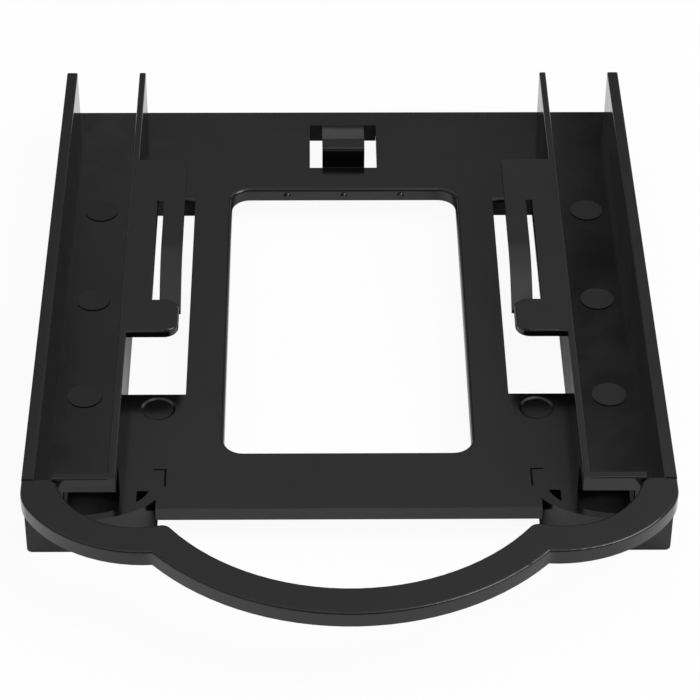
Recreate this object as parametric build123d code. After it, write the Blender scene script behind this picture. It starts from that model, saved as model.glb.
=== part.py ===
from build123d import *
import os

os.makedirs("parts", exist_ok=True)

# Envelope of the bracket: the width is that of a 3.5 inch drive.
WIDTH = 101.6
LENGTH = 142.0
HEIGHT = 15.4

# Outer rails and the box feet below the side channels.
RAIL_THICK = 1.95
FOOT_WIDTH = 6.3
FOOT_WALL = 1.5
FOOT_WALL_DROP = 1.5
FOOT_OUTER_ROUND = 0.8
WALL_TOP_ROUND = 0.3

# Floor plate that carries the 2.5 inch drive.
FLOOR_TOP = 6.5
FLOOR_THICK = 2.4
FLOOR_SETBACK = 2.9

# Inner guide walls on both sides of the drive.
DRIVE_BAY = 72.6
GUIDE_THICK = 1.17

# Bridge bar across the front of each side channel.
BAR_HEIGHT = 2.7
BAR_THICK = 1.3
BAR_END_GAP = 2.75
BAR_EDGE_ROUND = 0.25

# Curved skirts below the floor at the front corners.
SKIRT_INSET = 5.8
SKIRT_SWEEP = 8.0
SKIRT_RUNOUT = 1.0
SKIRT_THICK = 1.3
SKIRT_END_THICK = 2.1

# Shut-off holes in the floor behind the skirts, and the stiffening ribs below the floor.
PORT_DEPTH = 7.1
WEB_WIDTH = 2.7
RIB_THICK = 1.3
RIB_SHALLOW = 1.1

# Central window with its rounded rim and three gate pips.
WINDOW_WIDTH = 40.1
WINDOW_BACK = 24.4
WINDOW_FRONT = 16.4
WINDOW_ROUND = 3.2
WINDOW_EDGE_ROUND = 0.6
PIP_RADIUS = 0.6
PIP_REACH = 0.45
PIP_CHAMFER = 0.3
PIP_DROP = 1.3
PIP_PITCH = 10.2
PIP_COUNT = 3

# Openings in the floor below the hold-down lips.
OPENING_BACK = 27.5
OPENING_LENGTH = 54.0
OPENING_WIDTH = 9.7
OPENING_CHAMFER = 0.8

# Hold-down lips: root at the back, pad at the front, sprung leaf between.
LIP_THICK = 1.3
LIP_LENGTH = 48.4
LIP_REACH = 8.45
LIP_ROOT = 12.2
LIP_CHAMFER = 0.3
PAD_LENGTH = 8.65
PAD_ROUND = 2.4
LEAF_WIDTH = 3.6
LEAF_SLOT = 1.0
LEAF_TIP_GAP = 2.2
LEAF_TIP_THICK = 0.7
LEAF_FLAT = 17.3
LEAF_DROP = 4.4
LEAF_BEND = 20.0

# Snap clip at the back that holds the drive in.
CLIP_BACK = 4.2
CLIP_LENGTH = 13.45
CLIP_WIDTH = 12.2
CLIP_TONGUE = 7.65
CLIP_RISE = 3.0
CLIP_CREST = 3.0
CLIP_GAP = 1.75
CLIP_THICK = 1.5
CLIP_ROUND = 0.6

# Front handle: one arc between two corner lobes.
HANDLE_REACH = 29.7
HANDLE_OUTER = 40.3
HANDLE_BAND = 5.6
HANDLE_THICK = 2.95
HANDLE_DROP = 0.15
LOBE_INSET = 19.4
LOBE_SETBACK = 5.1
LOBE_OUTER = 21.5
LOBE_BORE_INSET = 18.3
LOBE_BORE_SETBACK = 2.55
LOBE_BORE = 13.2
LOBE_SHOULDER_ROUND = 8.0
LOBE_ROOT_ROUND = 1.2
HANDLE_CUSP_ROUND = 1.6
HANDLE_EDGE_ROUND = 0.4
HANDLE_BEVEL = 0.3

# Screw bosses on the bottom hole pattern of a 3.5 inch drive.
BOSS_INSET = 3.175
BOSS_FIRST = 41.28
BOSS_OFFSETS = (0.0, 44.45, 76.2)
BOSS_DIAMETER = 6.0
PILOT_DIAMETER = 2.9
PILOT_DEPTH = 5.0

# Ejector pin marks on the top side: proud in the channels, sunk where the drive lies.
PIN_DIAMETER = 5.7
PIN_DEPTH = 0.15
PIN_SLOPE = 0.4
PIN_CHANNEL_BACK = 30.9
PIN_CHANNEL_PITCH = 25.5
PIN_CHANNEL_COUNT = 3
PIN_FRONT_INSET = 5.3
PIN_FRONT_GAP = 3.6

# Corner lines that a tool insert left on the front floor.
MARK_INSET = 5.1
MARK_SETBACK = 12.3
MARK_WIDTH = 2.15
MARK_LENGTH = 4.2
MARK_LINE = 0.3
MARK_DEPTH = 0.2

# Reach of a cut past the face that it opens, and the slack for equal radii.
PASS = 1.0
SAME = 0.01

X_OUT = WIDTH / 2
X_RAIL = X_OUT - RAIL_THICK
X_FOOT = X_OUT - FOOT_WIDTH
X_GUIDE = DRIVE_BAY / 2
X_GUIDE_OUT = X_GUIDE + GUIDE_THICK
X_FRONT = X_GUIDE - SKIRT_INSET
X_OPENING = X_GUIDE - OPENING_WIDTH
X_LIP = X_GUIDE - LIP_REACH
X_LEAF = X_LIP + LEAF_WIDTH
X_STRIP = X_LEAF + LEAF_SLOT
X_BAR = X_RAIL - BAR_END_GAP
X_CHANNEL = (X_GUIDE_OUT + X_RAIL) / 2
X_LOBE = X_OUT - LOBE_INSET
X_LOBE_BORE = X_OUT - LOBE_BORE_INSET
X_BOSS = X_OUT - BOSS_INSET
X_GUIDE_MID = (X_GUIDE + X_GUIDE_OUT) / 2
X_MARK = X_GUIDE - MARK_INSET
X_MARK_IN = X_MARK - MARK_WIDTH
Y_BACK = LENGTH / 2
Y_TIP = -LENGTH / 2
Y_RAIL = Y_TIP + HANDLE_REACH
Y_FLOOR = Y_RAIL + FLOOR_SETBACK
Y_PORT = Y_RAIL + PORT_DEPTH
Y_OPENING = Y_BACK - OPENING_BACK
Y_OPENING_FRONT = Y_OPENING - OPENING_LENGTH
Y_PAD = Y_OPENING - LIP_LENGTH
Y_PAD_BACK = Y_PAD + PAD_LENGTH
Y_SLOT = Y_OPENING - LIP_ROOT
Y_WINDOW = Y_BACK - WINDOW_BACK
Y_WINDOW_FRONT = Y_RAIL + WINDOW_FRONT
Y_CLIP = Y_BACK - CLIP_BACK
Y_HANDLE = Y_TIP + HANDLE_OUTER
Z_FLOOR = FLOOR_TOP - FLOOR_THICK
Z_BAR = HEIGHT - BAR_HEIGHT
SKIRT_REACH = X_FOOT - X_FRONT + SKIRT_RUNOUT
Y_SKIRT = Y_RAIL + SKIRT_SWEEP
SIDES = (-1, 1)


def patch(x_low, x_high, y_low, y_high):
    """Rectangle in a sketch plane, given by its two corners."""
    middle = Pos((x_low + x_high) / 2, (y_low + y_high) / 2)
    return middle * Rectangle(x_high - x_low, y_high - y_low)


def both_sides(shape):
    """The shape with its mirror image across the centre plane."""
    return shape + mirror(shape, about=Plane.YZ)


def prism(sketch, z_low, z_high):
    """Plan sketch raised between two levels."""
    return extrude(Pos(0, 0, z_low) * sketch, z_high - z_low)


def round_edges(solid, radius):
    """Circular edges of a solid that have the given radius."""
    return solid.edges().filter_by(GeomType.CIRCLE).filter_by(lambda e: abs(e.radius - radius) < SAME)


# Cross-section of rails, guide walls, floor and foot walls, drawn along the bracket.
half_section = (
    patch(0, X_OUT, Z_FLOOR, FLOOR_TOP)
    + patch(X_RAIL, X_OUT, 0, HEIGHT)
    + patch(X_GUIDE, X_GUIDE_OUT, Z_FLOOR, HEIGHT)
    + patch(X_FOOT, X_FOOT + FOOT_WALL, 0, Z_FLOOR)
)
half_section = fillet(half_section.vertices().group_by(Axis.Y)[-1], WALL_TOP_ROUND)
section = Plane.XZ.offset(-Y_BACK) * both_sides(half_section)
body = extrude(section, Y_BACK - Y_RAIL)

# Front outline of the floor: straight in the middle, swept back to the feet at the corners.
skirt_place = Pos(X_FOOT, Y_SKIRT)
skirt_disc = skirt_place * Ellipse(SKIRT_REACH, SKIRT_SWEEP)
skirt_core = skirt_place * Ellipse(SKIRT_REACH - SKIRT_END_THICK, SKIRT_SWEEP - SKIRT_THICK)
corner_zone = patch(X_FRONT, X_FOOT, Y_RAIL - PASS, Y_SKIRT)
middle_front = patch(0, X_FRONT, Y_RAIL - PASS, Y_FLOOR)
front_air = both_sides(middle_front + (corner_zone - skirt_disc))
body -= prism(front_air, -PASS, Z_BAR)

# Guide walls step back behind the shut-off holes below the bridge bars.
guide_air = both_sides(patch(X_GUIDE, X_GUIDE_OUT, Y_RAIL - PASS, Y_PORT))
body -= prism(guide_air, FLOOR_TOP, Z_BAR)

# Curved skirts, and the foot walls that close both ends of the box feet.
body += prism(both_sides((corner_zone & skirt_disc) - skirt_core), 0, FLOOR_TOP)
front_foot = both_sides(patch(X_FOOT, X_OUT, Y_RAIL, Y_RAIL + FOOT_WALL))
back_foot = both_sides(patch(X_FOOT, X_OUT, Y_BACK - FOOT_WALL, Y_BACK))
body += prism(front_foot, 0, HEIGHT - FOOT_WALL_DROP)
body += prism(back_foot, 0, FLOOR_TOP)

# Bridge bars over the front of the channels.
bar = prism(patch(X_GUIDE, X_BAR, Y_RAIL, Y_RAIL + BAR_THICK), Z_BAR, HEIGHT)
bar = fillet(bar.edges().filter_by(Axis.X).group_by(Axis.Z)[-1].sort_by(Axis.Y)[0], BAR_EDGE_ROUND)
body += both_sides(bar)

# Shut-off holes behind the skirts, parted by the web beside the guide wall.
port_zone = patch(X_FRONT, X_FOOT, Y_RAIL, Y_PORT)
web = patch(X_GUIDE - WEB_WIDTH, X_GUIDE, Y_RAIL - PASS, Y_PORT + PASS)
body -= prism(both_sides((port_zone & skirt_core) - web), Z_FLOOR - PASS, FLOOR_TOP)

# Ribs below the floor: deep ones close the pockets behind the skirts, shallow ones stiffen the springs.
port_rib = both_sides(patch(X_FRONT, X_FOOT, Y_PORT, Y_PORT + RIB_THICK))
body += prism(port_rib, 0, Z_FLOOR)
lip_rib = both_sides(patch(X_OPENING, X_GUIDE_OUT, Y_OPENING, Y_OPENING + RIB_THICK))
clip_rib = patch(-CLIP_WIDTH / 2, CLIP_WIDTH / 2, Y_CLIP, Y_CLIP + RIB_THICK)
body += prism(lip_rib + clip_rib, Z_FLOOR - RIB_SHALLOW, Z_FLOOR)

# Central window with a rounded rim.
window_length = Y_WINDOW - Y_WINDOW_FRONT
window = RectangleRounded(WINDOW_WIDTH, window_length, WINDOW_ROUND)
body -= prism(Pos(0, (Y_WINDOW + Y_WINDOW_FRONT) / 2) * window, Z_FLOOR - PASS, FLOOR_TOP)
rim = body.edges().filter_by_position(Axis.Z, FLOOR_TOP, FLOOR_TOP)
rim = rim.filter_by_position(Axis.X, -WINDOW_WIDTH / 2, WINDOW_WIDTH / 2)
rim = rim.filter_by_position(Axis.Y, Y_WINDOW_FRONT, Y_WINDOW)
body = fillet(rim, WINDOW_EDGE_ROUND)
window_wall = Plane.XZ.offset(-Y_WINDOW)
for pip in GridLocations(PIP_PITCH, 0, PIP_COUNT, 1):
    pip_disc = window_wall * Pos(pip.position.X, FLOOR_TOP - PIP_DROP) * Circle(PIP_RADIUS)
    pip_body = extrude(pip_disc, PIP_REACH)
    body += chamfer(pip_body.faces().sort_by(Axis.Y)[0].edges(), PIP_CHAMFER)

# Floor openings below the lips, with a sloped back edge.
opening = both_sides(patch(X_OPENING, X_GUIDE, Y_OPENING_FRONT, Y_OPENING))
body -= prism(opening, Z_FLOOR - PASS, FLOOR_TOP)
ramp_profile = make_face(
    Polyline(
        (Y_OPENING, FLOOR_TOP),
        (Y_OPENING + OPENING_CHAMFER, FLOOR_TOP),
        (Y_OPENING, FLOOR_TOP - OPENING_CHAMFER),
        close=True,
    )
)
ramp = extrude(Plane.YZ.offset(X_OPENING) * ramp_profile, OPENING_WIDTH)
body -= both_sides(ramp)

# Lips: root, outer strip and rounded pad in one plate.
pad = patch(X_LIP, X_GUIDE_MID, Y_PAD, Y_PAD_BACK)
pad = fillet(pad.vertices().group_by(Axis.X)[0], PAD_ROUND)
strip = patch(X_STRIP, X_GUIDE_MID, Y_PAD, Y_OPENING)
root = patch(X_LIP, X_GUIDE_MID, Y_SLOT, Y_OPENING)
lip = prism(pad + strip + root, HEIGHT - LIP_THICK, HEIGHT)
lip_rim = lip.edges().group_by(Axis.Z)[-1].filter_by(lambda e: e.center().Y < Y_SLOT - SAME)
lip_rim = lip_rim.filter_by(lambda e: e.center().X < X_GUIDE)
lip = chamfer(lip_rim, LIP_CHAMFER)
body += both_sides(lip)

# Sprung leaf: flat at the root, then sloped down towards the pad.
y_leaf_bend = Y_SLOT - LEAF_FLAT
y_leaf_tip = Y_PAD_BACK + LEAF_TIP_GAP
leaf_profile = make_face(
    Polyline(
        (Y_SLOT, HEIGHT),
        (y_leaf_bend, HEIGHT),
        (y_leaf_tip, HEIGHT - LEAF_DROP),
        (y_leaf_tip, HEIGHT - LEAF_DROP - LEAF_TIP_THICK),
        (y_leaf_bend, HEIGHT - LIP_THICK),
        (Y_SLOT, HEIGHT - LIP_THICK),
        close=True,
    )
)
leaf = extrude(Plane.YZ.offset(X_LIP) * leaf_profile, LEAF_WIDTH)
bend_edges = leaf.edges().filter_by(Axis.X).filter_by_position(
    Axis.Y, y_leaf_bend - PASS, y_leaf_bend + PASS
)
leaf = fillet(bend_edges, LEAF_BEND)
body += both_sides(leaf)

# Snap clip: slots around a tongue that ramps up to a crest and turns down to the floor.
y_clip_front = Y_CLIP - CLIP_LENGTH + CLIP_GAP
y_clip_bend = y_clip_front + CLIP_CREST
z_crest = FLOOR_TOP + CLIP_RISE
clip_hole = patch(-CLIP_WIDTH / 2, CLIP_WIDTH / 2, Y_CLIP - CLIP_LENGTH, Y_CLIP)
body -= prism(clip_hole, Z_FLOOR - PASS, FLOOR_TOP + PASS)
clip_profile = make_face(
    Polyline(
        (Y_CLIP, FLOOR_TOP),
        (y_clip_bend, z_crest),
        (y_clip_front, z_crest),
        (y_clip_front, Z_FLOOR),
        (y_clip_front + CLIP_THICK, Z_FLOOR),
        (y_clip_front + CLIP_THICK, z_crest - CLIP_THICK),
        (y_clip_bend - CLIP_THICK / 2, z_crest - CLIP_THICK),
        (Y_CLIP, Z_FLOOR),
        close=True,
    )
)
clip = extrude(Plane.YZ.offset(-CLIP_TONGUE / 2) * clip_profile, CLIP_TONGUE)
crest_edges = clip.edges().filter_by(Axis.X).group_by(Axis.Z)[-1]
clip = fillet(crest_edges, CLIP_ROUND)
body += clip

# Handle plate: three discs joined, trimmed at the rails, with three discs bored out.
lobe = Pos(X_LOBE, Y_RAIL + LOBE_SETBACK) * Circle(LOBE_OUTER)
lobe_bore = Pos(X_LOBE_BORE, Y_RAIL + LOBE_BORE_SETBACK) * Circle(LOBE_BORE)
arc = Pos(0, Y_HANDLE) * Circle(HANDLE_OUTER)
arc_bore = Pos(0, Y_HANDLE) * Circle(HANDLE_OUTER - HANDLE_BAND)
plate = (arc + both_sides(lobe)) & patch(-X_OUT, X_OUT, Y_TIP - PASS, Y_RAIL)
plate = plate - arc_bore - both_sides(lobe_bore)
for side in SIDES:
    corners = plate.vertices().filter_by(lambda v: v.X * side > 0).sort_by(Axis.Y)
    roots = ShapeList(corners[-2:]).sort_by(lambda v: abs(v.X))
    plate = fillet(corners[-3], LOBE_SHOULDER_ROUND)
    plate = fillet(plate.vertices().sort_by_distance(corners[-4])[0], HANDLE_CUSP_ROUND)
    plate = fillet(plate.vertices().sort_by_distance(roots[0])[0], LOBE_ROOT_ROUND)

# The rim is rounded past the rails' front, so that the plate ends there in a flat face.
seat = plate.vertices().filter_by_position(Axis.Y, Y_RAIL - SAME, Y_RAIL + SAME)
x_seat = min(abs(v.X) for v in seat)
plate += both_sides(patch(x_seat, X_OUT, Y_RAIL, Y_RAIL + PASS))
z_plate = HEIGHT - HANDLE_DROP
handle = prism(plate, z_plate - HANDLE_THICK, z_plate)
for radius in (HANDLE_OUTER, LOBE_OUTER, HANDLE_OUTER - HANDLE_BAND, LOBE_BORE):
    handle = chamfer(round_edges(handle, radius).group_by(Axis.Z)[0], HANDLE_BEVEL)
outer_rim = round_edges(handle, HANDLE_OUTER) + round_edges(handle, LOBE_OUTER)
handle = fillet(outer_rim.group_by(Axis.Z)[-1], HANDLE_EDGE_ROUND)
inner_rim = round_edges(handle, HANDLE_OUTER - HANDLE_BAND).group_by(Axis.Z)[-1]
handle = fillet(inner_rim, HANDLE_EDGE_ROUND)
handle -= prism(patch(-X_OUT, X_OUT, Y_RAIL, Y_BACK), 0, HEIGHT)
body += handle

# Rounded bottom edges of the feet.
foot_edges = body.edges().filter_by(Axis.Y).group_by(Axis.Z)[0].sort_by(lambda e: abs(e.center().X))
body = fillet(foot_edges[-2:], FOOT_OUTER_ROUND)

# Screw bosses between the foot walls.
for offset in BOSS_OFFSETS:
    for side in SIDES:
        place = Pos(side * X_BOSS, Y_TIP + BOSS_FIRST + offset)
        boss = (place * Circle(BOSS_DIAMETER / 2)) & patch(-X_OUT, X_OUT, Y_RAIL, Y_BACK)
        body += prism(boss, 0, Z_FLOOR)
        body -= prism(place * Circle(PILOT_DIAMETER / 2), -PASS, PILOT_DEPTH)

# Ejector pin marks in the channels and on the front floor.
pin = Circle(PIN_DIAMETER / 2)
for row in range(PIN_CHANNEL_COUNT):
    place = Pos(X_CHANNEL, Y_BACK - PIN_CHANNEL_BACK - row * PIN_CHANNEL_PITCH)
    body += prism(both_sides(place * pin), FLOOR_TOP, FLOOR_TOP + PIN_DEPTH)
sunk_pin = Cone(PIN_DIAMETER / 2 - PIN_SLOPE, PIN_DIAMETER / 2, PIN_DEPTH)
sunk_place = Pos(X_GUIDE - PIN_FRONT_INSET, Y_OPENING_FRONT - PIN_FRONT_GAP, FLOOR_TOP - PIN_DEPTH / 2)
body -= both_sides(sunk_place * sunk_pin)

# Corner lines of the tool insert: a slot across the floor and a vee groove towards the front.
y_mark = Y_RAIL + MARK_SETBACK
cross_mark = patch(X_MARK_IN, X_MARK, y_mark - MARK_LINE, y_mark)
body -= prism(both_sides(cross_mark), FLOOR_TOP - MARK_DEPTH, FLOOR_TOP)
vee_profile = make_face(
    Polyline(
        (X_MARK_IN, FLOOR_TOP),
        (X_MARK_IN + MARK_LINE, FLOOR_TOP),
        (X_MARK_IN + MARK_LINE / 2, FLOOR_TOP - MARK_DEPTH),
        close=True,
    )
)
vee = extrude(Plane.XZ.offset(-y_mark) * vee_profile, MARK_LENGTH)
body -= both_sides(vee)

export_step(body, "parts/bracket.step")
print("solids", len(body.solids()), "volume", round(body.volume, 1), "box", body.bounding_box())
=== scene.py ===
"""Drive bay adapter bracket: one black moulded plastic tray, dressed for its picture."""

import logging
import math
from dataclasses import dataclass, field
from enum import Enum
from typing import Any

import bmesh
import bpy
from mathutils import Matrix, Vector


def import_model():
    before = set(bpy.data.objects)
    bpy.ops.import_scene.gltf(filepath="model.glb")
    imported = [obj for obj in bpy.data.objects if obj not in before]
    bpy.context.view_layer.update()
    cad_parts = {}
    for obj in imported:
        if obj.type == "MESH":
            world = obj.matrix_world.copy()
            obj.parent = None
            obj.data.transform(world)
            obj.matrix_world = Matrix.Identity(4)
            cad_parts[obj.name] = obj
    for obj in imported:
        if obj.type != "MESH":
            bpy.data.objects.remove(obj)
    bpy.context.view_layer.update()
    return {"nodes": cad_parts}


LOG = logging.getLogger("bracket_scene")
MM = 0.001
PICTURE_SIDE = 700
SENSOR_MM = 36.0

Place = tuple[float, float, float]
Span = tuple[float, float]


class Ray(Enum):
    """Kinds of ray that see the bright side of the studio."""

    CAMERA = "Is Camera Ray"
    GLOSSY = "Is Glossy Ray"
    TRANSMISSION = "Is Transmission Ray"


def linear(hex_colour: str) -> tuple[float, float, float, float]:
    """Turns an sRGB hex colour into Blender's linear colour.

    Args:
        hex_colour: Six hex digits after a hash sign.

    Returns:
        Linear red, green and blue with full alpha.
    """
    levels = [int(hex_colour[i : i + 2], 16) / 255 for i in (1, 3, 5)]
    red, green, blue = (v / 12.92 if v <= 0.04045 else ((v + 0.055) / 1.055) ** 2.4 for v in levels)
    return (red, green, blue, 1.0)


def add_node(
    tree: bpy.types.NodeTree,
    kind: str,
    settings: dict[str, Any] | None = None,
    inputs: dict[Any, Any] | None = None,
) -> bpy.types.Node:
    """Adds one node, with its settings, and with each input set or linked.

    Args:
        tree: Node tree that takes the node.
        kind: Blender's type name of the node.
        settings: Attributes of the node.
        inputs: Input sockets by name or number, each with a value or an output socket.

    Returns:
        The new node.
    """
    node = tree.nodes.new(kind)
    for name, value in (settings or {}).items():
        setattr(node, name, value)
    for key, value in (inputs or {}).items():
        if isinstance(value, bpy.types.NodeSocket):
            tree.links.new(value, node.inputs[key])
        else:
            node.inputs[key].default_value = value
    return node


def bright_rays(tree: bpy.types.NodeTree) -> bpy.types.NodeSocket:
    """Gives 1 for the rays that see the paper's own white, and 0 for the rest.

    Args:
        tree: Node tree of the paper.

    Returns:
        Output socket of the choice.
    """
    path = add_node(tree, "ShaderNodeLightPath")
    total = path.outputs[Ray.CAMERA.value]
    for ray in (Ray.GLOSSY, Ray.TRANSMISSION):
        total = add_node(
            tree,
            "ShaderNodeMath",
            {"operation": "MAXIMUM"},
            {0: total, 1: path.outputs[ray.value]},
        ).outputs[0]
    return total


@dataclass(frozen=True)
class MouldedPlastic:
    """Black ABS, injection moulded: deep black, with a soft gloss that follows the tool's finish.

    The top faces and the proud pin marks come from spark-eroded steel and look duller than the floor.
    The side channels come from polished steel and look glossier.
    """

    name: str = "black_abs_moulded"
    colour: str = "#08080a"
    flow_colour: str = "#0b0b0c"
    ior: float = 1.54
    roughness: float = 0.17
    roughness_swing: float = 0.05
    matt_extra: float = 0.2
    matt_above_mm: float = 10.5
    matt_facing: float = 0.85
    pin_level_mm: float = 6.65
    pin_slack_mm: float = 0.03
    polish: float = 0.06
    channel_from_mm: float = 37.8
    channel_level_mm: float = 6.4
    # The eroded grain is finer than the picture can show, so it is drawn coarser.
    grain_mm: float = 0.4
    grain_depth_mm: float = 0.006
    grain_strength: float = 0.6
    grain_detail: float = 2.0
    grain_fade: float = 0.55
    flow_mm: float = 14.0
    flow_detail: float = 3.0
    flow_bend: float = 0.8
    flow_range: Span = (0.3, 0.7)

    def matt_places(self, tree: bpy.types.NodeTree, place: bpy.types.NodeSocket) -> bpy.types.NodeSocket:
        """Gives 1 on the eroded faces at the top and on the proud pin marks, and 0 elsewhere.

        Args:
            tree: Node tree of the plastic.
            place: Output socket with the place on the piece.

        Returns:
            Output socket of the mask.
        """
        height = add_node(tree, "ShaderNodeSeparateXYZ", {}, {0: place}).outputs["Z"]
        high = add_node(
            tree, "ShaderNodeMath", {"operation": "GREATER_THAN"}, {0: height, 1: self.matt_above_mm * MM}
        )
        facing = add_node(tree, "ShaderNodeTexCoord").outputs["Normal"]
        lift = add_node(tree, "ShaderNodeSeparateXYZ", {}, {0: facing}).outputs["Z"]
        upward = add_node(
            tree, "ShaderNodeMath", {"operation": "GREATER_THAN"}, {0: lift, 1: self.matt_facing}
        )
        top = add_node(
            tree, "ShaderNodeMath", {"operation": "MULTIPLY"}, {0: high.outputs[0], 1: upward.outputs[0]}
        )
        pin = add_node(
            tree,
            "ShaderNodeMath",
            {"operation": "COMPARE"},
            {0: height, 1: self.pin_level_mm * MM, 2: self.pin_slack_mm * MM},
        )
        return add_node(
            tree, "ShaderNodeMath", {"operation": "MAXIMUM"}, {0: top.outputs[0], 1: pin.outputs[0]}
        ).outputs[0]

    def channel_places(self, tree: bpy.types.NodeTree, place: bpy.types.NodeSocket) -> bpy.types.NodeSocket:
        """Gives 1 in the polished side channels, and 0 elsewhere.

        Args:
            tree: Node tree of the plastic.
            place: Output socket with the place on the piece.

        Returns:
            Output socket of the mask.
        """
        axes = add_node(tree, "ShaderNodeSeparateXYZ", {}, {0: place})
        aside = add_node(tree, "ShaderNodeMath", {"operation": "ABSOLUTE"}, {0: axes.outputs["X"]})
        beside = add_node(
            tree,
            "ShaderNodeMath",
            {"operation": "GREATER_THAN"},
            {0: aside.outputs[0], 1: self.channel_from_mm * MM},
        )
        above = add_node(
            tree,
            "ShaderNodeMath",
            {"operation": "GREATER_THAN"},
            {0: axes.outputs["Z"], 1: self.channel_level_mm * MM},
        )
        return add_node(
            tree, "ShaderNodeMath", {"operation": "MULTIPLY"}, {0: beside.outputs[0], 1: above.outputs[0]}
        ).outputs[0]

    def gloss(
        self, tree: bpy.types.NodeTree, place: bpy.types.NodeSocket, flow: bpy.types.NodeSocket
    ) -> bpy.types.NodeSocket:
        """Gives the roughness: slow flow streaks, duller top faces and glossier channels.

        Args:
            tree: Node tree of the plastic.
            place: Output socket with the place on the piece.
            flow: Output socket of the flow streaks.

        Returns:
            Output socket of the roughness.
        """
        low, high = self.flow_range
        streaks = add_node(
            tree,
            "ShaderNodeMapRange",
            {},
            {
                "Value": flow,
                "From Min": low,
                "From Max": high,
                "To Min": self.roughness - self.roughness_swing,
                "To Max": self.roughness + self.roughness_swing,
            },
        )
        matt = add_node(
            tree,
            "ShaderNodeMath",
            {"operation": "MULTIPLY_ADD"},
            {0: self.matt_places(tree, place), 1: self.matt_extra, 2: streaks.outputs["Result"]},
        )
        return add_node(
            tree,
            "ShaderNodeMath",
            {"operation": "MULTIPLY_ADD"},
            {0: self.channel_places(tree, place), 1: -self.polish, 2: matt.outputs[0]},
        ).outputs[0]

    def make(self) -> bpy.types.Material:
        """Builds the material: tool grain as bump, and slow flow streaks in colour and gloss.

        Returns:
            The plastic.
        """
        material = bpy.data.materials.new(self.name)
        material.use_nodes = True
        tree = material.node_tree
        tree.nodes.clear()
        place = add_node(tree, "ShaderNodeTexCoord").outputs["Object"]
        grain = add_node(
            tree,
            "ShaderNodeTexNoise",
            {"noise_dimensions": "3D"},
            {
                "Vector": place,
                "Scale": 1 / (self.grain_mm * MM),
                "Detail": self.grain_detail,
                "Roughness": self.grain_fade,
            },
        )
        flow = add_node(
            tree,
            "ShaderNodeTexNoise",
            {"noise_dimensions": "3D"},
            {
                "Vector": place,
                "Scale": 1 / (self.flow_mm * MM),
                "Detail": self.flow_detail,
                "Distortion": self.flow_bend,
            },
        )
        tint = add_node(
            tree,
            "ShaderNodeMix",
            {"data_type": "RGBA"},
            {0: flow.outputs["Fac"], 6: linear(self.colour), 7: linear(self.flow_colour)},
        )
        bump = add_node(
            tree,
            "ShaderNodeBump",
            {},
            {
                "Height": grain.outputs["Fac"],
                "Strength": self.grain_strength,
                "Distance": self.grain_depth_mm * MM,
            },
        )
        shader = add_node(
            tree,
            "ShaderNodeBsdfPrincipled",
            {},
            {
                "Base Color": tint.outputs[2],
                "Roughness": self.gloss(tree, place, flow.outputs["Fac"]),
                "IOR": self.ior,
                "Normal": bump.outputs["Normal"],
            },
        )
        add_node(tree, "ShaderNodeOutputMaterial", {}, {"Surface": shader.outputs[0]})
        return material


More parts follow.
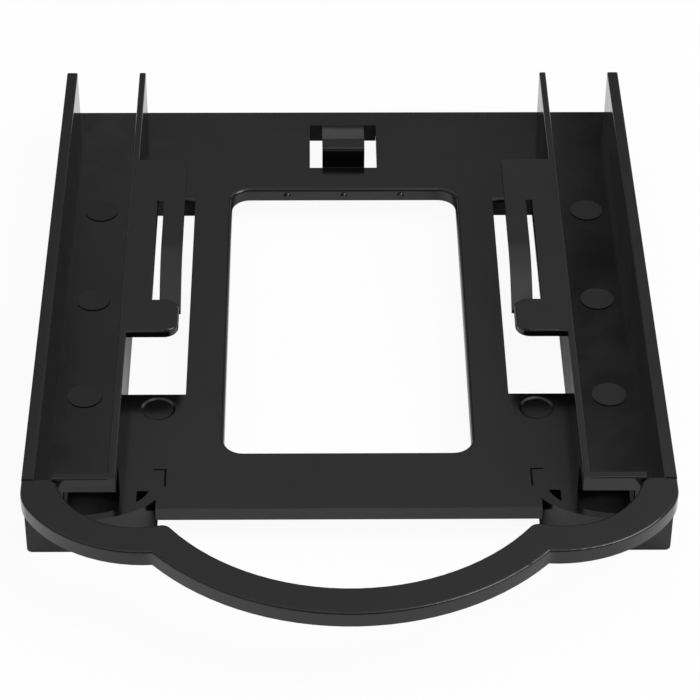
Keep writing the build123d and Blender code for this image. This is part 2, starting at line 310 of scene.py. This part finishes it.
@dataclass(frozen=True)
class PaperSweep:
    """Matt white photo paper that the bracket lies on: plain white, with a faint shadow kept.

    In the gloss the paper holds painted shade near the bracket, painted light beside it, painted shade far
    behind.
    """

    name: str = "white_paper_matt"
    colour: str = "#f4f4f4"
    # Painted shade: the paper is darkened towards this colour far behind the bracket.
    far_shade_colour: str = "#202020"
    shine_colour: str = "#ffffff"
    roughness: float = 0.4
    shine_share: float = 0.94
    mirror_share: float = 0.45
    # Painted light: the gloss sees more of the paper's glow beside the bracket.
    painted_side_share: float = 0.95
    side_mm: Span = (51.0, 58.0)
    shade_reach_mm: float = 60.0
    shade_range: Span = (0.15, 0.65)
    shade_samples: int = 8
    fall_mm: Span = (130.0, 165.0)
    fall_level: float = 0.1

    def fall(self, tree: bpy.types.NodeTree, behind: bpy.types.NodeSocket) -> bpy.types.NodeSocket:
        """Gives the painted shade far behind the bracket: 1 on the paper, falling to a low level far behind
        it.

        Args:
            tree: Node tree of the paper.
            behind: Output socket with the place along the bracket.

        Returns:
            Output socket of the level.
        """
        near, far = self.fall_mm
        return add_node(
            tree,
            "ShaderNodeMapRange",
            {},
            {
                "Value": behind,
                "From Min": near * MM,
                "From Max": far * MM,
                "To Min": 1.0,
                "To Max": self.fall_level,
            },
        ).outputs["Result"]

    def shade(self, tree: bpy.types.NodeTree) -> bpy.types.NodeSocket:
        """Gives the painted shade on the paper's glow: 1 on open paper and less where the bracket covers it.

        Args:
            tree: Node tree of the paper.

        Returns:
            Output socket of the level.
        """
        # Painted shade: ambient occlusion darkens the paper's glow under and beside the bracket.
        cover = add_node(
            tree,
            "ShaderNodeAmbientOcclusion",
            {"samples": self.shade_samples},
            {"Distance": self.shade_reach_mm * MM},
        )
        low, high = self.shade_range
        return add_node(
            tree,
            "ShaderNodeMapRange",
            {},
            {"Value": cover.outputs["AO"], "From Min": low, "From Max": high},
        ).outputs["Result"]

    def mirrored(self, tree: bpy.types.NodeTree, across: bpy.types.NodeSocket) -> bpy.types.NodeSocket:
        """Gives the share of plain white that the gloss sees, more of it beside the bracket as painted
        light.

        Args:
            tree: Node tree of the paper.
            across: Output socket with the place across the bracket.

        Returns:
            Output socket of the share.
        """
        aside = add_node(tree, "ShaderNodeMath", {"operation": "ABSOLUTE"}, {0: across})
        inner, outer = self.side_mm
        # Painted light beside the bracket: the glow seen in the gloss rises towards the sides.
        reflected = add_node(
            tree,
            "ShaderNodeMapRange",
            {},
            {
                "Value": aside.outputs[0],
                "From Min": inner * MM,
                "From Max": outer * MM,
                "To Min": self.mirror_share,
                "To Max": self.painted_side_share,
            },
        )
        return add_node(
            tree,
            "ShaderNodeMath",
            {"operation": "MULTIPLY"},
            {0: bright_rays(tree), 1: reflected.outputs["Result"]},
        ).outputs[0]

    def make(self) -> bpy.types.Material:
        """Builds the floor material: white to the eye, paper to the light.

        Returns:
            The paper.
        """
        material = bpy.data.materials.new(self.name)
        material.use_nodes = True
        tree = material.node_tree
        tree.nodes.clear()
        place = add_node(tree, "ShaderNodeNewGeometry").outputs["Position"]
        axes = add_node(tree, "ShaderNodeSeparateXYZ", {}, {0: place})
        fall = self.fall(tree, axes.outputs["Y"])
        # Painted shade: the paper's colour darkens far behind the bracket.
        tone = add_node(
            tree,
            "ShaderNodeMix",
            {"data_type": "RGBA"},
            {0: fall, 6: linear(self.far_shade_colour), 7: linear(self.colour)},
        )
        paper = add_node(
            tree, "ShaderNodeBsdfDiffuse", {}, {"Color": tone.outputs[2], "Roughness": self.roughness}
        )
        # Painted shade: the glow that the gloss sees is darkened near the bracket and far behind it.
        dim = add_node(tree, "ShaderNodeMath", {"operation": "MULTIPLY"}, {0: self.shade(tree), 1: fall})
        eye = add_node(tree, "ShaderNodeLightPath").outputs[Ray.CAMERA.value]
        level = add_node(tree, "ShaderNodeMath", {"operation": "MAXIMUM"}, {0: eye, 1: dim.outputs[0]})
        white = add_node(
            tree,
            "ShaderNodeEmission",
            {},
            {"Color": linear(self.shine_colour), "Strength": level.outputs[0]},
        )
        seen = add_node(tree, "ShaderNodeMath", {"operation": "MULTIPLY"}, {0: eye, 1: self.shine_share})
        share = add_node(
            tree,
            "ShaderNodeMath",
            {"operation": "MAXIMUM"},
            {0: seen.outputs[0], 1: self.mirrored(tree, axes.outputs["X"])},
        )
        mixed = add_node(
            tree, "ShaderNodeMixShader", {}, {0: share.outputs[0], 1: paper.outputs[0], 2: white.outputs[0]}
        )
        add_node(tree, "ShaderNodeOutputMaterial", {}, {"Surface": mixed.outputs[0]})
        return material


@dataclass(frozen=True)
class SoftShading:
    """Even shading of rounded faces: facets join smoothly, folds and sharp edges stay."""

    name: str = "soft_shading"
    fold_degrees: float = 50.0
    weld_mm: float = 0.0005
    area_power: float = 4.0
    clip_fold_mm: float = 66.8
    fold_slack_mm: float = 0.1
    pin_place_mm: Place = (31.0, -14.1, 0.0)
    pin_reach_mm: float = 3.1
    rim_top_mm: float = 15.25
    rim_round_mm: float = 0.4
    rim_front_mm: float = -41.29
    rim_lift: float = 0.02

    def rim_foot(self) -> float:
        """Gives the height in metres at which the handle's rounded rim starts."""
        return (self.rim_top_mm - self.rim_round_mm) * MM

    def folds(self, group: bpy.types.NodeTree) -> bpy.types.NodeSocket:
        """Gives true on the edges that stay sharp: steep ones, the clip's root and the sunk pin marks.

        Args:
            group: Node tree of the shading.

        Returns:
            Output socket of the choice.
        """
        angle = add_node(group, "GeometryNodeInputMeshEdgeAngle")
        steep = add_node(
            group,
            "FunctionNodeCompare",
            {"data_type": "FLOAT", "operation": "GREATER_THAN"},
            {0: angle.outputs[0], 1: math.radians(self.fold_degrees)},
        )
        place = add_node(
            group, "ShaderNodeSeparateXYZ", {}, {0: add_node(group, "GeometryNodeInputPosition").outputs[0]}
        )
        at_clip = add_node(
            group,
            "FunctionNodeCompare",
            {"data_type": "FLOAT", "operation": "EQUAL"},
            {
                0: place.outputs["Y"],
                1: self.clip_fold_mm * MM,
                "Epsilon": self.fold_slack_mm * MM,
            },
        )
        side = add_node(group, "ShaderNodeMath", {"operation": "ABSOLUTE"}, {0: place.outputs["X"]})
        plan = add_node(group, "ShaderNodeCombineXYZ", {}, {0: side.outputs[0], 1: place.outputs["Y"]})
        from_pin = add_node(
            group,
            "ShaderNodeVectorMath",
            {"operation": "DISTANCE"},
            {0: plan.outputs[0], 1: Vector(self.pin_place_mm) * MM},
        )
        at_pin = add_node(
            group,
            "FunctionNodeCompare",
            {"data_type": "FLOAT", "operation": "LESS_THAN"},
            {0: from_pin.outputs["Value"], 1: self.pin_reach_mm * MM},
        )
        choice = steep.outputs[0]
        for test in (at_clip, at_pin):
            choice = add_node(
                group, "FunctionNodeBooleanMath", {"operation": "OR"}, {0: choice, 1: test.outputs[0]}
            ).outputs[0]
        return choice

    def even_normal(self, group: bpy.types.NodeTree) -> bpy.types.NodeSocket:
        """Gives the mean facing of the facets round a point, where large facets count most.

        Args:
            group: Node tree of the shading.

        Returns:
            Output socket of the normal.
        """
        area = add_node(group, "GeometryNodeInputMeshFaceArea")
        area_mm2 = add_node(
            group, "ShaderNodeMath", {"operation": "DIVIDE"}, {0: area.outputs[0], 1: MM * MM}
        )
        weight = add_node(
            group, "ShaderNodeMath", {"operation": "POWER"}, {0: area_mm2.outputs[0], 1: self.area_power}
        )
        facing = add_node(group, "GeometryNodeInputNormal").outputs["True Normal"]
        mean = add_node(
            group, "ShaderNodeVectorMath", {"operation": "SCALE"}, {0: facing, "Scale": weight.outputs[0]}
        )
        for domain in ("FACE", "POINT"):
            mean = add_node(
                group,
                "GeometryNodeFieldOnDomain",
                {"data_type": "FLOAT_VECTOR", "domain": domain},
                {"Value": mean.outputs[0]},
            )
        return add_node(
            group, "ShaderNodeVectorMath", {"operation": "NORMALIZE"}, {0: mean.outputs[0]}
        ).outputs[0]

    def rim_points(
        self, group: bpy.types.NodeTree, place: bpy.types.Node, even: bpy.types.NodeSocket
    ) -> bpy.types.NodeSocket:
        """Gives true on the points of the handle's top face and rounded rim.

        Args:
            group: Node tree of the shading.
            place: Node that parts the place into its axes.
            even: Output socket of the mean normal.

        Returns:
            Output socket of the choice.
        """
        lift = add_node(group, "ShaderNodeSeparateXYZ", {}, {0: even}).outputs["Z"]
        limits = (
            ("LESS_THAN", place.outputs["Y"], self.rim_front_mm * MM),
            ("GREATER_THAN", place.outputs["Z"], self.rim_foot()),
            ("GREATER_THAN", lift, self.rim_lift),
        )
        tests = [
            add_node(
                group,
                "FunctionNodeCompare",
                {"data_type": "FLOAT", "operation": kind},
                {0: value, 1: limit},
            )
            for kind, value, limit in limits
        ]
        choice = tests[0].outputs[0]
        for test in tests[1:]:
            choice = add_node(
                group, "FunctionNodeBooleanMath", {"operation": "AND"}, {0: choice, 1: test.outputs[0]}
            ).outputs[0]
        return choice

    def rim_normal(self, group: bpy.types.NodeTree, even: bpy.types.NodeSocket) -> bpy.types.NodeSocket:
        """Turns the normals of the handle's rounded rim by their height on the round.

        Args:
            group: Node tree of the shading.
            even: Output socket of the mean normal.

        Returns:
            Output socket of the normal with the rim mended.
        """
        place = add_node(
            group, "ShaderNodeSeparateXYZ", {}, {0: add_node(group, "GeometryNodeInputPosition").outputs[0]}
        )
        rise = add_node(
            group,
            "ShaderNodeMapRange",
            {},
            {"Value": place.outputs["Z"], "From Min": self.rim_foot(), "From Max": self.rim_top_mm * MM},
        )
        lean = add_node(group, "ShaderNodeMath", {"operation": "ARCCOSINE"}, {0: rise.outputs["Result"]})
        spread = add_node(group, "ShaderNodeMath", {"operation": "SINE"}, {0: lean.outputs[0]})
        level = add_node(
            group, "ShaderNodeVectorMath", {"operation": "MULTIPLY"}, {0: even, 1: (1.0, 1.0, 0.0)}
        )
        outward = add_node(group, "ShaderNodeVectorMath", {"operation": "NORMALIZE"}, {0: level.outputs[0]})
        aside = add_node(
            group,
            "ShaderNodeVectorMath",
            {"operation": "SCALE"},
            {0: outward.outputs[0], "Scale": spread.outputs[0]},
        )
        upward = add_node(group, "ShaderNodeCombineXYZ", {}, {2: rise.outputs["Result"]})
        turned = add_node(
            group, "ShaderNodeVectorMath", {"operation": "ADD"}, {0: aside.outputs[0], 1: upward.outputs[0]}
        )
        return add_node(
            group,
            "GeometryNodeSwitch",
            {"input_type": "VECTOR"},
            {"Switch": self.rim_points(group, place, even), "False": even, "True": turned.outputs[0]},
        ).outputs[0]

    def make_group(self) -> bpy.types.NodeTree:
        """Builds the node group that welds the facets, parts them at the folds and sets their normals.

        Returns:
            The node group.
        """
        group = bpy.data.node_groups.new(self.name, "GeometryNodeTree")
        group.interface.new_socket("Geometry", in_out="INPUT", socket_type="NodeSocketGeometry")
        group.interface.new_socket("Geometry", in_out="OUTPUT", socket_type="NodeSocketGeometry")
        start = add_node(group, "NodeGroupInput")
        weld = add_node(
            group,
            "GeometryNodeMergeByDistance",
            {},
            {"Geometry": start.outputs[0], "Distance": self.weld_mm * MM},
        )
        smooth = add_node(
            group,
            "GeometryNodeSetShadeSmooth",
            {"domain": "FACE"},
            {"Geometry": weld.outputs[0], "Shade Smooth": True},
        )
        parted = add_node(
            group,
            "GeometryNodeSplitEdges",
            {},
            {"Mesh": smooth.outputs[0], "Selection": self.folds(group)},
        )
        even = add_node(
            group,
            "GeometryNodeSetMeshNormal",
            {"mode": "FREE", "domain": "POINT"},
            {
                "Mesh": parted.outputs[0],
                "Custom Normal": self.rim_normal(group, self.even_normal(group)),
            },
        )
        add_node(group, "NodeGroupOutput", {}, {0: even.outputs[0]})
        return group

    def give(self, piece: bpy.types.Object) -> None:
        """Adds the shading to a piece as a modifier.

        Args:
            piece: Object that is shaded.
        """
        soften = piece.modifiers.new(self.name, "NODES")
        soften.node_group = self.make_group()


@dataclass
class Tray:
    """The moulded tray itself: floor, rails, guide walls, lips, clip and handle in one piece."""

    node: str = "bracket"
    finish: MouldedPlastic = field(default_factory=MouldedPlastic)
    shading: SoftShading = field(default_factory=SoftShading)

    def dress(self, nodes: dict[str, bpy.types.Object]) -> None:
        """Gives the tray its plastic and its even shading.

        Args:
            nodes: Packed solids by name.
        """
        tray = nodes[self.node]
        tray.data.materials.clear()
        tray.data.materials.append(self.finish.make())
        self.shading.give(tray)
        LOG.info("dressed %s", self.node)


@dataclass
class SoftBox:
    """One rectangular studio lamp that points at the middle of the bracket."""

    name: str
    place: Place
    width: float
    height: float
    watts: float
    aim: Place = (0.0, 0.0, 0.008)

    def hang(self) -> None:
        """Adds the lamp to the scene."""
        data = bpy.data.lights.new(self.name, "AREA")
        data.shape = "RECTANGLE"
        data.size = self.width
        data.size_y = self.height
        data.energy = self.watts
        lamp = bpy.data.objects.new(self.name, data)
        lamp.location = self.place
        direction = Vector(self.aim) - Vector(self.place)
        lamp.rotation_euler = direction.to_track_quat("-Z", "Y").to_euler()
        bpy.context.scene.collection.objects.link(lamp)
        LOG.info("hung %s", self.name)


@dataclass
class Studio:
    """White paper floor, dim surroundings with a soft white ceiling, two bright cards and two soft lamps."""

    floor_side: float = 8.0
    floor_drop_mm: float = 0.05
    sky: tuple[Span, ...] = (
        (0.0, 0.12),
        (0.5, 0.1),
        (0.655, 0.1),
        (0.69, 0.68),
        (0.8, 0.68),
        (1.0, 0.6),
    )
    side_glow: float = 0.6
    side_range: Span = (0.2, 0.6)
    low_range: Span = (0.1, 0.55)
    paper: PaperSweep = field(default_factory=PaperSweep)
    lamps: tuple[SoftBox, ...] = (
        SoftBox("back_card", (-0.005, 1.23, 0.927), 0.34, 0.3, 0.08),
        SoftBox("right_card", (0.5, 0.98, 1.12), 0.4, 0.4, 0.4),
        SoftBox("top_softbox", (0.32, -0.02, 0.95), 0.6, 0.56, 0.95),
        SoftBox("right_softbox", (0.64, -0.20, 0.70), 0.6, 0.6, 5.6),
    )

    def lay_floor(self) -> None:
        """Lays the paper under the bracket."""
        mesh = bpy.data.meshes.new("paper_floor")
        half = self.floor_side / 2
        work = bmesh.new()
        work.faces.new(
            [work.verts.new((x * half, y * half, 0.0)) for x, y in ((-1, -1), (1, -1), (1, 1), (-1, 1))]
        )
        work.to_mesh(mesh)
        work.free()
        floor = bpy.data.objects.new("paper_floor", mesh)
        floor.location.z = -self.floor_drop_mm * MM
        mesh.materials.append(self.paper.make())
        bpy.context.scene.collection.objects.link(floor)
        LOG.info("laid %s", floor.name)

    def side_light(self, tree: bpy.types.NodeTree, axes: bpy.types.Node) -> list[bpy.types.NodeSocket]:
        """Gives the glow at both sides and how it fades with height.

        Args:
            tree: Node tree of the surroundings.
            axes: Node that parts the direction into its axes.

        Returns:
            Output sockets of the glow and of its fade.
        """
        aside = add_node(tree, "ShaderNodeMath", {"operation": "ABSOLUTE"}, {0: axes.outputs["X"]})
        near, far = self.side_range
        glow = add_node(
            tree,
            "ShaderNodeMapRange",
            {},
            {"Value": aside.outputs[0], "From Min": near, "From Max": far, "To Max": self.side_glow},
        )
        low, high = self.low_range
        fade = add_node(
            tree,
            "ShaderNodeMapRange",
            {},
            {"Value": axes.outputs["Z"], "From Min": low, "From Max": high, "To Min": 1.0, "To Max": 0.0},
        )
        return [glow.outputs["Result"], fade.outputs["Result"]]

    def fill_world(self) -> None:
        """Makes the surroundings: white to the camera, else dim low down, lit at the sides and overhead."""
        world = bpy.data.worlds.new("studio_white")
        world.use_nodes = True
        tree = world.node_tree
        tree.nodes.clear()
        direction = add_node(tree, "ShaderNodeTexCoord").outputs["Generated"]
        axes = add_node(tree, "ShaderNodeSeparateXYZ", {}, {0: direction})
        ramp = add_node(tree, "ShaderNodeValToRGB", {}, {"Fac": axes.outputs["Z"]})
        marks = ramp.color_ramp.elements
        while len(marks) < len(self.sky):
            marks.new(1.0)
        for mark, (rise, level) in zip(marks, self.sky):
            mark.position = rise
            mark.color = (level, level, level, 1.0)
        glow, fade = self.side_light(tree, axes)
        light = add_node(
            tree,
            "ShaderNodeMath",
            {"operation": "MULTIPLY_ADD"},
            {0: glow, 1: fade, 2: ramp.outputs["Color"]},
        )
        eye = add_node(tree, "ShaderNodeLightPath").outputs[Ray.CAMERA.value]
        shown = add_node(tree, "ShaderNodeMath", {"operation": "MAXIMUM"}, {0: light.outputs[0], 1: eye})
        back = add_node(tree, "ShaderNodeBackground", {}, {"Color": shown.outputs[0], "Strength": 1.0})
        add_node(tree, "ShaderNodeOutputWorld", {}, {"Surface": back.outputs[0]})
        bpy.context.scene.world = world
        LOG.info("filled %s", world.name)

    def build(self) -> None:
        """Sets up floor, surroundings, lamps and the plain view transform."""
        self.lay_floor()
        self.fill_world()
        for lamp in self.lamps:
            lamp.hang()
        bpy.context.scene.view_settings.view_transform = "Standard"


@dataclass
class PictureCamera:
    """Camera at the picture's place: in front of the handle, looking down on the tray."""

    place_mm: Place = (-5.532, -378.60, 316.53)
    focal_px: float = 2919.4
    pitch: float = 0.68484
    yaw: float = 0.016125
    roll: float = -0.0073476
    clip: Span = (0.01, 50.0)

    def build(self) -> None:
        """Adds the camera and makes it the scene's own."""
        forward = Vector(
            (
                math.sin(self.yaw) * math.cos(self.pitch),
                math.cos(self.yaw) * math.cos(self.pitch),
                -math.sin(self.pitch),
            )
        )
        level = Vector((math.cos(self.yaw), -math.sin(self.yaw), 0.0))
        down = forward.cross(level)
        right = level * math.cos(self.roll) + down * math.sin(self.roll)
        down = down * math.cos(self.roll) - level * math.sin(self.roll)
        turn = Matrix((right, -down, -forward)).transposed()
        data = bpy.data.cameras.new("picture_camera")
        data.sensor_width = SENSOR_MM
        data.lens = self.focal_px / PICTURE_SIDE * SENSOR_MM
        data.clip_start, data.clip_end = self.clip
        camera = bpy.data.objects.new("picture_camera", data)
        camera.matrix_world = Matrix.Translation(Vector(self.place_mm) * MM) @ turn.to_4x4()
        bpy.context.scene.collection.objects.link(camera)
        bpy.context.scene.camera = camera
        LOG.info("placed %s", camera.name)


def main() -> None:
    """Builds the dressed bracket and its studio."""
    logging.basicConfig(level=logging.INFO, format="%(message)s")
    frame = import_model()
    Tray().dress(frame["nodes"])
    Studio().build()
    PictureCamera().build()


if __name__ == "__main__":
    main()
